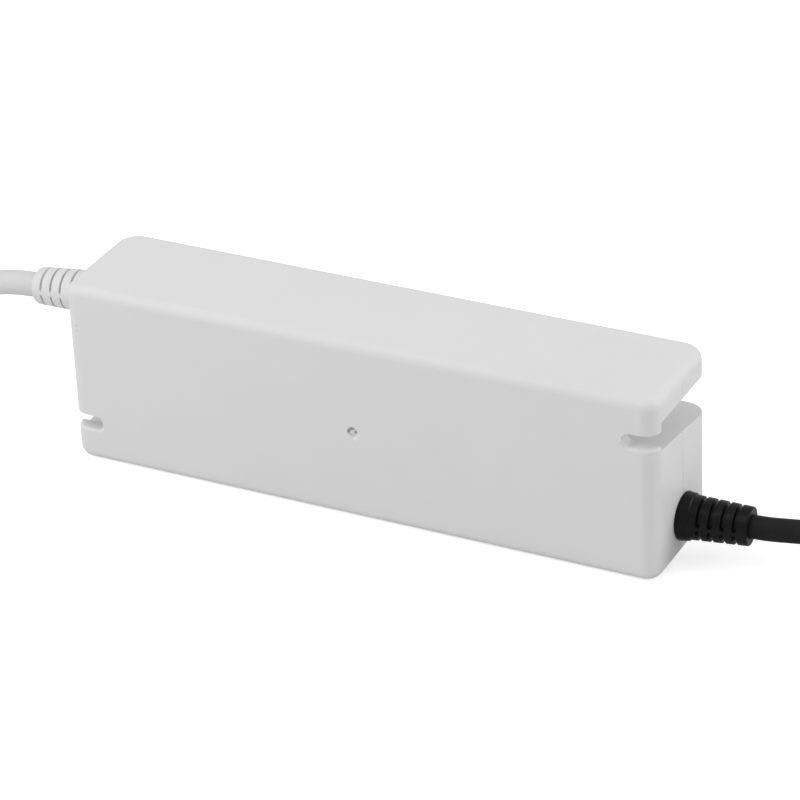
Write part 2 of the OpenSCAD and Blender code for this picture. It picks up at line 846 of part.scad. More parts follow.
module controller_chip() {
    color(black) on_board(chip_at) chip(9.6, 6.4, 3.4, 4);
}

module output_capacitors() {
    color("#3a2a20") for (at = out_cap_at) on_board(at) can(out_cap_d, out_cap_h);
}

// Drum core of the output inductor
drum_r = 4.5;
drum_neck_r = 2.4;
drum_h = 9;
drum_cheek = 1.4;
module inductor_core() {
    color(ferrite) on_board(inductor_at) rotate_extrude() polygon([
        [0, 0], [drum_r, 0], [drum_r, drum_cheek], [drum_neck_r, drum_cheek],
        [drum_neck_r, drum_h - drum_cheek], [drum_r, drum_h - drum_cheek], [drum_r, drum_h], [0, drum_h]
    ]);
}

module inductor_winding() {
    color(copper) on_board(inductor_at) translate([0, 0, drum_cheek + part_clear])
        ring_part(drum_neck_r + part_clear, drum_r - 0.3, drum_h - 2 * drum_cheek - 2 * part_clear);
}

// Axial resistors lying across the board, each on its two bent leads
module resistors() {
    color("#cfb48a") for (at = resistor_at) on_board(at) {
        translate([-resistor_l / 2, 0, resistor_lift]) rotate([0, 90, 0])
            cylinder(d = resistor_d, h = resistor_l);
        translate([-resistor_span / 2, 0, resistor_lift]) rotate([0, 90, 0])
            cylinder(d = resistor_lead_d, h = resistor_span);
        for (s = [-1, 1])
            translate([s * resistor_span / 2, 0, 0])
                cylinder(d = resistor_lead_d, h = resistor_lift + resistor_lead_d / 2);
    }
}

base_shell();
cover_shell();
mains_boot();
output_boot();
mains_cord();
output_cord();
mains_live_end();
mains_neutral_end();
mains_earth_end();
output_positive_end();
output_negative_end();
circuit_board();
board_screws();
live_wire();
neutral_wire();
earth_wire();
positive_wire();
negative_wire();
fuse();
varistor();
thermistor();
x_capacitor();
choke_core();
choke_windings();
bridge_rectifier();
bulk_capacitor();
transistor_heatsink();
switching_transistor();
transistor_screw();
transformer_bobbin();
transformer_winding();
transformer_core_lower();
transformer_core_upper();
y_capacitor();
optocoupler();
controller_chip();
diode_heatsink();
output_diode();
diode_screw();
output_capacitors();
inductor_core();
inductor_winding();
resistors();
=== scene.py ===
"""Dressed model of a plastic-cased LED driver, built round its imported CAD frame, with sizes in millimetres."""
import logging
import math
from dataclasses import dataclass, field
from enum import Enum
from typing import Any

import bmesh
import bpy
from mathutils import Euler, Matrix, Vector


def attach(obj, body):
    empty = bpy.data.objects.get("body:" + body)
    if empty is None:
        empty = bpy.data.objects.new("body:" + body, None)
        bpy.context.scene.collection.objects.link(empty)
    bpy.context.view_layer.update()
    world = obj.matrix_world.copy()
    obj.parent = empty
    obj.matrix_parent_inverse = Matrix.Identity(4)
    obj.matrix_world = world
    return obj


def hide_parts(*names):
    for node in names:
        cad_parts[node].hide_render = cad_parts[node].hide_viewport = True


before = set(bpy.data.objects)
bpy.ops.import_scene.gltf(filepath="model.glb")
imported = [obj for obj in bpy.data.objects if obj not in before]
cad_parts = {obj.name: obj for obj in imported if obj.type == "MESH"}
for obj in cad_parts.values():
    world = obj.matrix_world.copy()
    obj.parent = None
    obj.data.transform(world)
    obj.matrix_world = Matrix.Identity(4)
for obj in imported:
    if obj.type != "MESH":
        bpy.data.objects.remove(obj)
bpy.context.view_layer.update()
LOG = logging.getLogger("led_driver")
MM = 0.001
BODY = "root"
Row = tuple[float, float, float]


def linear(hex_colour: str) -> tuple[float, float, float, float]:
    """Turn an sRGB hex colour into the linear values that the shaders take.

    Args:
        hex_colour: Colour such as "#dcdcdc".

    Returns:
        Linear red, green, blue and an alpha of 1.
    """
    parts = [int(hex_colour[i:i + 2], 16) / 255 for i in (1, 3, 5)]
    red, green, blue = (c / 12.92 if c <= 0.04045 else ((c + 0.055) / 1.055) ** 2.4 for c in parts)
    return red, green, blue, 1.0


def add(tree: bpy.types.NodeTree, kind: str, inputs: dict[Any, Any] | None = None,
        **settings: Any) -> bpy.types.Node:
    """Add a node with its settings, values and links.

    Args:
        tree: Tree that takes the node.
        kind: Blender's name of the node type.
        inputs: Input name or index to a value, or to the output socket that feeds it.
        settings: Properties of the node itself.

    Returns:
        The new node.
    """
    node = tree.nodes.new(kind)
    for key, value in settings.items():
        setattr(node, key, value)
    for key, value in (inputs or {}).items():
        if isinstance(value, bpy.types.NodeSocket):
            tree.links.new(value, node.inputs[key])
        else:
            node.inputs[key].default_value = value
    return node


class Around(Enum):
    """Attributes that a mesh carries for its material."""

    CORE = "around"


@dataclass(frozen=True)
class Finish:
    """Surface of a real material: its colour, gloss, colour drift and fine relief."""

    name: str
    colour: str
    roughness: float
    metallic: float = 0.0
    ior: float = 1.5
    specular: float = 0.5
    drift: float = 0.03
    drift_mm: float = 14.0
    grain_mm: float = 0.6
    relief_um: float = 6.0
    gloss_drift: float = 0.05

    def tint(self, tree: bpy.types.NodeTree, place: bpy.types.NodeSocket) -> bpy.types.NodeSocket:
        """Give the colour with its slow drift over the surface.

        Args:
            tree: Tree of the material.
            place: Object coordinates in metres.

        Returns:
            Socket of the colour.
        """
        cloud = add(tree, "ShaderNodeTexNoise", {
            "Vector": place, "Scale": 1 / (self.drift_mm * MM), "Detail": 3.0})
        shade = add(tree, "ShaderNodeMapRange", {
            "Value": cloud.outputs["Fac"], "From Min": 0.3, "From Max": 0.7,
            "To Min": 1 - self.drift, "To Max": 1 + self.drift})
        tinted = add(tree, "ShaderNodeMix", {
            "Factor": 1.0, "A": linear(self.colour), "B": shade.outputs["Result"]},
            data_type="RGBA", blend_type="MULTIPLY")
        return tinted.outputs["Result"]

    def material(self) -> bpy.types.Material:
        """Build the material once, and hand out the same one later.

        Returns:
            The material with this finish's name.
        """
        made = bpy.data.materials.get(self.name)
        if made is not None:
            return made
        made = bpy.data.materials.new(self.name)
        made.use_nodes = True
        tree = made.node_tree
        tree.nodes.clear()
        place = add(tree, "ShaderNodeTexCoord").outputs["Object"]
        grain = add(tree, "ShaderNodeTexNoise", {
            "Vector": place, "Scale": 1 / (self.grain_mm * MM), "Detail": 2.0, "Roughness": 0.6})
        gloss = add(tree, "ShaderNodeMapRange", {
            "Value": grain.outputs["Fac"], "From Min": 0.3, "From Max": 0.7,
            "To Min": self.roughness - self.gloss_drift, "To Max": self.roughness + self.gloss_drift})
        relief = add(tree, "ShaderNodeBump", {
            "Height": grain.outputs["Fac"], "Strength": 1.0, "Distance": self.relief_um * MM * MM})
        shader = add(tree, "ShaderNodeBsdfPrincipled", {
            "Base Color": self.tint(tree, place), "Roughness": gloss.outputs["Result"],
            "Metallic": self.metallic, "IOR": self.ior, "Specular IOR Level": self.specular,
            "Normal": relief.outputs["Normal"]})
        add(tree, "ShaderNodeOutputMaterial", {"Surface": shader.outputs["BSDF"]})
        return made


@dataclass(frozen=True)
class Mark:
    """Spot of another colour with a soft edge, in millimetres."""

    place: Row
    reach: float
    colour: str


@dataclass(frozen=True)
class MouldedCase(Finish):
    """White moulded plastic with specks near one end, grime and painted shade in the gate's dimple and a painted
    highlight beside it.
    """

    marks: tuple[Mark, ...] = (
        Mark((-81.3, -17.5, 40.6), 0.27, "#a8a8a6"), Mark((-81.5, -17.5, 38.9), 0.27, "#a8a8a6"),
        # Grime and painted shade in the gate's dimple.
        Mark((-0.5, -17.2, 26.6), 0.6, "#8e8e8c"), Mark((0.1, -17.2, 27.0), 0.6, "#8e8e8c"),
        Mark((1.1, -17.2, 25.9), 0.6, "#a0a09e"), Mark((-1.1, -17.2, 25.9), 0.6, "#a0a09e"),
        # Painted highlight below and right of the gate.
        Mark((0.9, -17.5, 24.4), 1.0, "#f4f4f4"), Mark((1.8, -17.5, 25.4), 0.7, "#f4f4f4"))

    def tint(self, tree: bpy.types.NodeTree, place: bpy.types.NodeSocket) -> bpy.types.NodeSocket:
        """Give the drifting colour with the specks, the painted shade and the painted highlight laid over it.

        Args:
            tree: Tree of the material.
            place: Object coordinates in metres.

        Returns:
            Socket of the colour.
        """
        colour = super().tint(tree, place)
        for mark in self.marks:
            away = add(tree, "ShaderNodeVectorMath", {0: place, 1: Vector(mark.place) * MM},
                       operation="DISTANCE")
            cover = add(tree, "ShaderNodeMapRange", {
                "Value": away.outputs["Value"], "From Min": mark.reach / 3 * MM, "From Max": mark.reach * MM,
                "To Min": 1.0, "To Max": 0.0})
            laid = add(tree, "ShaderNodeMix", {
                "Factor": cover.outputs["Result"], "A": colour, "B": linear(mark.colour)}, data_type="RGBA")
            colour = laid.outputs["Result"]
        return colour


@dataclass(frozen=True)
class StripedCore(Finish):
    """Core insulation with a second colour along one side."""

    stripe: str = "#d8c02c"

    def tint(self, tree: bpy.types.NodeTree, place: bpy.types.NodeSocket) -> bpy.types.NodeSocket:
        """Give the drifting colour with the stripe along it.

        Args:
            tree: Tree of the material.
            place: Object coordinates in metres.

        Returns:
            Socket of the colour.
        """
        colour = super().tint(tree, place)
        turn = add(tree, "ShaderNodeAttribute", attribute_name=Around.CORE.value)
        off = add(tree, "ShaderNodeMath", {0: turn.outputs["Fac"], 1: 0.5}, operation="SUBTRACT")
        size = add(tree, "ShaderNodeMath", {0: off.outputs[0]}, operation="ABSOLUTE")
        band = add(tree, "ShaderNodeMath", {0: size.outputs[0], 1: 0.17}, operation="LESS_THAN")
        laid = add(tree, "ShaderNodeMix", {
            "Factor": band.outputs[0], "A": colour, "B": linear(self.stripe)}, data_type="RGBA")
        return laid.outputs["Result"]


@dataclass(frozen=True)
class WoundWire(Finish):
    """Turns of wire or tape lying side by side, seen as fine bands along the winding."""

    pitch_mm: float = 0.9
    gap_shade: float = 0.45

    def tint(self, tree: bpy.types.NodeTree, place: bpy.types.NodeSocket) -> bpy.types.NodeSocket:
        """Give the drifting colour, with painted shade between the turns.

        Args:
            tree: Tree of the material.
            place: Object coordinates in metres.

        Returns:
            Socket of the colour.
        """
        colour = super().tint(tree, place)
        # A wave of scale 1 has a band every 2 pi / 20 units.
        bands = add(tree, "ShaderNodeTexWave", {
            "Vector": place, "Scale": math.tau / 20 / (self.pitch_mm * MM)}, bands_direction="Y")
        # Painted shade in the gaps between the turns.
        shade = add(tree, "ShaderNodeMapRange", {
            "Value": bands.outputs["Fac"], "To Min": self.gap_shade, "To Max": 1.0})
        laid = add(tree, "ShaderNodeMix", {
            "Factor": 1.0, "A": colour, "B": shade.outputs["Result"]},
            data_type="RGBA", blend_type="MULTIPLY")
        return laid.outputs["Result"]


# ABS, injection moulded against a spark-eroded tool: pale, satin, even, with soft broad highlights. The real
# texture is about 0.1 mm, and is drawn at 0.5 mm so that it shows.
CASE_ABS = MouldedCase("moulded_white_abs", "#e6e6e6", 0.46, drift=0.008, drift_mm=22, grain_mm=0.5,
                       relief_um=5)
# Soft PVC, moulded or extruded: smoother than the case, with a slightly waxy gloss. The jacket is greyer.
WHITE_PVC = Finish("white_moulded_pvc", "#e4e4e4", 0.42, drift=0.012, drift_mm=9, grain_mm=0.4, relief_um=4)
WHITE_JACKET = Finish("white_extruded_pvc", "#dadada", 0.42, drift=0.012, drift_mm=9, grain_mm=0.4,
                      relief_um=4)
# The same PVC with carbon black: hardly any light comes back except the sheen.
BLACK_PVC = Finish("black_moulded_pvc", "#111112", 0.36, specular=0.16, drift=0.08, drift_mm=6, grain_mm=0.35,
                   relief_um=6)
# Its extruded jacket is a little paler and duller, so that it shows evenly grey along its length.
BLACK_JACKET = Finish("black_extruded_pvc", "#262627", 0.5, specular=0.08, drift=0.08, drift_mm=6,
                      grain_mm=0.35, relief_um=4)
# Thin extruded PVC over the copper: smooth and saturated.
BROWN_CORE = Finish("brown_core_pvc", "#6a4128", 0.4, drift=0.04, relief_um=2)
BLUE_CORE = Finish("blue_core_pvc", "#2a62b4", 0.4, drift=0.04, relief_um=2)
GREEN_CORE = StripedCore("green_yellow_core_pvc", "#3f8f3a", 0.4, drift=0.04, relief_um=2)
RED_CORE = Finish("red_core_pvc", "#ad2323", 0.4, drift=0.04, relief_um=2)
BLACK_CORE = Finish("black_core_pvc", "#1b1b1c", 0.4, drift=0.06, relief_um=2)
# Copper dipped in tin: bright grey with soft reflections.
TINNED_COPPER = Finish("tinned_copper", "#c9c8c4", 0.32, metallic=1.0, drift=0.05, drift_mm=2, relief_um=1)
# Glass cloth in green-masked epoxy: a satin green with the cloth's weave faintly under it.
GLASS_EPOXY = Finish("masked_glass_epoxy", "#1f5a37", 0.35, drift=0.1, drift_mm=5, grain_mm=0.5, relief_um=4)
# Zinc-plated steel: cool grey metal with a slightly cloudy reflection.
PLATED_STEEL = Finish("zinc_plated_steel", "#b9bbbd", 0.34, metallic=1.0, drift=0.05, drift_mm=3, relief_um=1)
# Moulded epoxy of component packages: dark, dry and fine-grained.
DARK_EPOXY = Finish("moulded_dark_epoxy", "#242425", 0.6, drift=0.08, drift_mm=3, grain_mm=0.3, relief_um=5)
PALE_EPOXY = Finish("moulded_pale_epoxy", "#d9d7cf", 0.55, drift=0.04, drift_mm=3, grain_mm=0.3, relief_um=5)
# Dipped epoxy: thick, glossy, slightly uneven.
BLUE_DIP = Finish("dipped_blue_epoxy", "#2d5ca6", 0.25, drift=0.06, drift_mm=3, grain_mm=1.5, relief_um=25)
GREEN_DIP = Finish("dipped_green_epoxy", "#2f5640", 0.25, drift=0.06, drift_mm=3, grain_mm=1.5, relief_um=25)
# Flame-retardant PBT box filled with resin: plain satin yellow.
YELLOW_BOX = Finish("moulded_yellow_pbt", "#c6a238", 0.45, drift=0.04, drift_mm=5, relief_um=5)
# Sintered ferrite: dark grey, matt and slightly gritty.
FERRITE = Finish("sintered_ferrite", "#333537", 0.62, drift=0.12, drift_mm=2, grain_mm=0.25, relief_um=10)
# Enamelled copper wire: warm metal with painted shade in the gaps between the turns.
COPPER_TURNS = WoundWire("enamelled_copper_turns", "#b26a35", 0.3, metallic=1.0, drift=0.06, drift_mm=2,
                         relief_um=2)
# Polyester tape over the winding: smooth yellow with its overlaps showing as bands.
WINDING_TAPE = WoundWire("polyester_winding_tape", "#d2bb48", 0.3, drift=0.04, drift_mm=4, relief_um=2,
                         pitch_mm=4.0, gap_shade=0.85)
# Heat-shrunk PVC sleeve over an aluminium can: thin, dark and glossy.
CAN_SLEEVE = Finish("shrunk_dark_sleeve", "#2a3350", 0.28, drift=0.05, drift_mm=6, grain_mm=1.0, relief_um=4)
# Extruded aluminium: pale metal with a fine matt skin.
SINK_ALUMINIUM = Finish("extruded_aluminium", "#c2c5c8", 0.42, metallic=1.0, drift=0.05, drift_mm=3,
                        relief_um=3)
# Moulded bobbin of natural PBT: cream, satin.
BOBBIN_PBT = Finish("moulded_cream_pbt", "#cfc4a6", 0.45, drift=0.03, drift_mm=6, relief_um=5)
# Lacquer over a ceramic rod: tan, slightly glossy.
TAN_LACQUER = Finish("lacquered_tan_ceramic", "#c9ad83", 0.4, drift=0.06, drift_mm=2, relief_um=6)


def link(name: str, data: bpy.types.ID, finish: Finish | None = None) -> bpy.types.Object:
    """Put a mesh or curve in the scene as an object at the origin.

    Args:
        name: Name of the object.
        data: Its mesh, curve, lamp or camera.
        finish: Finish of the whole piece, if it has one.

    Returns:
        The new object.
    """
    piece = bpy.data.objects.new(name, data)
    bpy.context.scene.collection.objects.link(piece)
    if finish is not None:
        data.materials.clear()
        data.materials.append(finish.material())
    return piece


def settle(piece: bpy.types.Object, slot: str, *nodes: str) -> bpy.types.Object:
    """Let a piece ride on the body and stand for CAD nodes.

    Args:
        piece: The finished piece.
        slot: Material slot of the record; not used.
        nodes: CAD nodes that it stands for.

    Returns:
        The same piece.
    """
    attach(piece, BODY)
    if nodes:
        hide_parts(*nodes)
    return piece


def grown(name: str, source: bpy.types.ID, tree: bpy.types.NodeTree,
          values: dict[str, Any]) -> bpy.types.Mesh:
    """Run a node tree on a mesh or curve and keep what it makes as a plain mesh.

    Args:
        name: Name of the new mesh.
        source: Mesh or curve that the tree starts from.
        tree: Geometry Nodes tree.
        values: Input name to its value.

    Returns:
        The finished mesh.
    """
    holder = link(name + "_holder", source)
    modifier = holder.modifiers.new("grow", "NODES")
    modifier.node_group = tree
    for item in tree.interface.items_tree:
        if item.item_type == "SOCKET" and item.in_out == "INPUT" and item.name in values:
            modifier[item.identifier] = values[item.name]
    return plain(name, holder)


def plain(name: str, holder: bpy.types.Object) -> bpy.types.Mesh:
    """Keep what an object's modifiers make as a plain mesh without empty slots, and remove the object.

    Args:
        name: Name of the new mesh.
        holder: Object with the modifiers.

    Returns:
        The finished mesh.
    """
    holder.update_tag()
    deps = bpy.context.evaluated_depsgraph_get()
    made = bpy.data.meshes.new_from_object(holder.evaluated_get(deps), depsgraph=deps)
    made.name = name
    for slot in reversed(range(len(made.materials))):
        if made.materials[slot] is None:
            made.materials.pop(index=slot)
    holder.modifiers.clear()
    bpy.data.objects.remove(holder)
    return made


def sockets(tree: bpy.types.NodeTree, inputs: dict[str, str]) -> bpy.types.Node:
    """Give a tree its geometry sockets and its named inputs.

    Args:
        tree: The new Geometry Nodes tree.
        inputs: Input name to its socket type.

    Returns:
        The tree's input node.
    """
    tree.interface.new_socket("Geometry", in_out="INPUT", socket_type="NodeSocketGeometry")
    tree.interface.new_socket("Geometry", in_out="OUTPUT", socket_type="NodeSocketGeometry")
    for name, kind in inputs.items():
        tree.interface.new_socket(name, in_out="INPUT", socket_type=kind)
    return add(tree, "NodeGroupInput")


@dataclass
class CordLead:
    """Round cord from its seat in a boot to its bare end."""

    name: str
    side: int
    start: Vector
    diameter: float
    rows: tuple[Row, ...]
    finish: Finish
    slot: str
    length: float

    def points(self) -> list[Vector]:
        """Work out the route from its rows of distance out, distance back and share of height.

        Returns:
            Points of the route in metres.
        """
        low = self.diameter / 2
        out = [self.start.copy()]
        for along, back, share in self.rows:
            out.append(Vector((self.start.x + self.side * along, self.start.y + back,
                               low + share * (self.start.z - low))))
        return [p * MM for p in out]

    def end(self) -> Vector:
        """Give the middle of the cord's far end in metres."""
        return self.points()[-1]

    def build(self) -> bpy.types.Object:
        """Make the cord as one smooth round curve.

        Returns:
            The curve object.
        """
        route = smooth_curve(self.name + "_jacket", self.points())
        route.bevel_depth = self.diameter / 2 * MM
        route.bevel_resolution = 7
        route.use_fill_caps = True
        piece = link(self.name + "_jacket", route, self.finish)
        return settle(piece, self.slot, self.name)


def smooth_curve(name: str, points: list[Vector]) -> bpy.types.Curve:
    """Make a curve of one open spline that runs smoothly through points.

    Args:
        name: Name of the curve.
        points: Points in metres.

    Returns:
        The curve.
    """
    curve = bpy.data.curves.new(name, "CURVE")
    curve.dimensions = "3D"
    curve.resolution_u = 8
    spline = curve.splines.new("BEZIER")
    spline.bezier_points.add(len(points) - 1)
    floor = min(p.z for p in points)
    for i, (knot, point) in enumerate(zip(spline.bezier_points, points)):
        before, after = points[max(i - 1, 0)], points[min(i + 1, len(points) - 1)]
        heading = (after - before).normalized()
        knot.co = point
        knot.handle_left_type = knot.handle_right_type = "FREE"
        knot.handle_left = point - heading * ((point - before).length / 3)
        knot.handle_right = point + heading * ((after - point).length / 3)
        for handle in (knot.handle_left, knot.handle_right):
            handle.z = max(handle.z, floor)
    return curve


def core_tree() -> bpy.types.NodeTree:
    """Build the tree that makes a stripped core: insulation along a path and twisted strands at its tip.

    Returns:
        The tree.
    """
    tree = bpy.data.node_groups.new("stripped_core", "GeometryNodeTree")
    size = "NodeSocketFloat"
    given = sockets(tree, {
        "Core Radius": size, "Strand Radius": size, "Strand Count": "NodeSocketInt", "Twist": size,
        "Tip Length": size, "Tip Place": "NodeSocketVector", "Tip Turn": "NodeSocketRotation",
        "Insulation": "NodeSocketMaterial", "Metal": "NodeSocketMaterial"}).outputs
    rim = add(tree, "GeometryNodeCurvePrimitiveCircle", {"Resolution": 24, "Radius": given["Core Radius"]})
    share = add(tree, "GeometryNodeSplineParameter")
    marked = add(tree, "GeometryNodeStoreNamedAttribute", {
        "Geometry": rim.outputs["Curve"], "Name": Around.CORE.value, "Value": share.outputs["Factor"]},
        data_type="FLOAT", domain="POINT")
    jacket = add(tree, "GeometryNodeCurveToMesh", {
        "Curve": given["Geometry"], "Profile Curve": marked.outputs["Geometry"], "Fill Caps": True})
    coated = add(tree, "GeometryNodeSetMaterial", {
        "Geometry": jacket.outputs["Mesh"], "Material": given["Insulation"]})
    lay = add(tree, "ShaderNodeMath", {0: given["Strand Radius"], 1: 2.0}, operation="MULTIPLY")
    helix = add(tree, "GeometryNodeCurveSpiral", {
        "Resolution": 16, "Rotations": given["Twist"], "Start Radius": lay.outputs[0],
        "End Radius": lay.outputs[0], "Height": given["Tip Length"]})
    wire = add(tree, "GeometryNodeCurvePrimitiveCircle", {"Resolution": 8, "Radius": given["Strand Radius"]})
    strand = add(tree, "GeometryNodeCurveToMesh", {
        "Curve": helix.outputs["Curve"], "Profile Curve": wire.outputs["Curve"], "Fill Caps": True})
    seats = add(tree, "GeometryNodeMeshLine", {
        "Count": given["Strand Count"], "Start Location": Vector(), "Offset": Vector()})
    step = add(tree, "ShaderNodeMath", {0: math.tau, 1: given["Strand Count"]}, operation="DIVIDE")
    turn = add(tree, "ShaderNodeMath", {
        0: add(tree, "GeometryNodeInputIndex").outputs[0], 1: step.outputs[0]}, operation="MULTIPLY")
    spun = add(tree, "FunctionNodeEulerToRotation", {
        "Euler": add(tree, "ShaderNodeCombineXYZ", {"Z": turn.outputs[0]}).outputs["Vector"]})
    ring = add(tree, "GeometryNodeInstanceOnPoints", {
        "Points": seats.outputs["Mesh"], "Instance": strand.outputs["Mesh"],
        "Rotation": spun.outputs["Rotation"]})
    top = add(tree, "ShaderNodeCombineXYZ", {"Z": given["Tip Length"]})
    middle = add(tree, "GeometryNodeCurvePrimitiveLine", {"Start": Vector(), "End": top.outputs["Vector"]})
    heart = add(tree, "GeometryNodeCurveToMesh", {
        "Curve": middle.outputs["Curve"], "Profile Curve": wire.outputs["Curve"], "Fill Caps": True})
    bundle = add(tree, "GeometryNodeJoinGeometry")
    for part in (ring.outputs["Instances"], heart.outputs["Mesh"]):
        tree.links.new(part, bundle.inputs["Geometry"])
    placed = add(tree, "GeometryNodeTransform", {
        "Geometry": bundle.outputs["Geometry"], "Translation": given["Tip Place"],
        "Rotation": given["Tip Turn"]})
    realized = add(tree, "GeometryNodeRealizeInstances", {"Geometry": placed.outputs["Geometry"]})
    tinned = add(tree, "GeometryNodeSetMaterial", {
        "Geometry": realized.outputs["Geometry"], "Material": given["Metal"]})
    whole = add(tree, "GeometryNodeJoinGeometry")
    for part in (coated.outputs["Geometry"], tinned.outputs["Geometry"]):
        tree.links.new(part, whole.inputs["Geometry"])
    add(tree, "NodeGroupOutput", {"Geometry": whole.outputs["Geometry"]})
    return tree


@dataclass
class CoreEnd:
    """Stripped core at a cord's far end: coloured insulation, then a twisted and tinned tip."""

    node: str
    start: Vector
    side: int
    rows: tuple[Row, ...]
    finish: Finish
    slot: str
    diameter: float = 2.3
    tip_length: float = 8.0
    strand_radius: float = 0.18
    strands: int = 6
    twist: float = 1.4

    def points(self) -> list[Vector]:
        """Work out the core's path from its rows, down to where it lies on the surface.

        Returns:
            Points of the path in metres.
        """
        low = self.diameter / 2 * MM
        out = [self.start.copy()]
        for along, back, share in self.rows:
            out.append(Vector((self.start.x + self.side * along * MM, self.start.y + back * MM,
                               low + share * (self.start.z - low))))
        return out

    def build(self, tree: bpy.types.NodeTree) -> bpy.types.Object:
        """Grow the core along its path.

        Args:
            tree: Tree of a stripped core.

        Returns:
            The core as one mesh.
        """
        path = self.points()
        ahead = (path[-1] - path[-2]).normalized()
        mesh = grown(self.node, smooth_curve(self.node + "_path", path), tree, {
            "Core Radius": self.diameter / 2 * MM, "Strand Radius": self.strand_radius * MM,
            "Strand Count": self.strands, "Twist": self.twist, "Tip Length": self.tip_length * MM,
            "Tip Place": path[-1], "Tip Turn": ahead.to_track_quat("Z", "Y").to_euler(),
            "Insulation": self.finish.material(), "Metal": TINNED_COPPER.material()})
        smooth(mesh, 40)
        return settle(link(self.node + "_stripped", mesh), self.slot, self.node)


def smooth(mesh: bpy.types.Mesh, angle: float) -> None:
    """Shade a mesh smooth, with edges sharper than an angle kept crisp.

    Args:
        mesh: The mesh.
        angle: Largest angle that is smoothed over, in degrees.
    """
    mesh.shade_smooth()
    mesh.set_sharp_from_angle(angle=math.radians(angle))


def even_shading(mesh: bpy.types.Mesh, angle: float) -> None:
    """Shade a moulding smooth, so that flat faces stay flat and only the rounding between them turns.

    Args:
        mesh: The mesh.
        angle: Largest angle that is smoothed over, in degrees.
    """
    limit = math.cos(math.radians(angle))
    beside: dict[int, list[tuple[Vector, float]]] = {}
    for face in mesh.polygons:
        for corner in face.vertices:
            beside.setdefault(corner, []).append((face.normal.copy(), face.area))
    leans: list[Vector] = []
    for face in mesh.polygons:
        for corner in face.vertices:
            near = [normal * area for normal, area in beside[corner] if normal.dot(face.normal) > limit]
            leans.append(sum(near, Vector()).normalized())
    mesh.shade_smooth()
    mesh.normals_split_custom_set(leans)


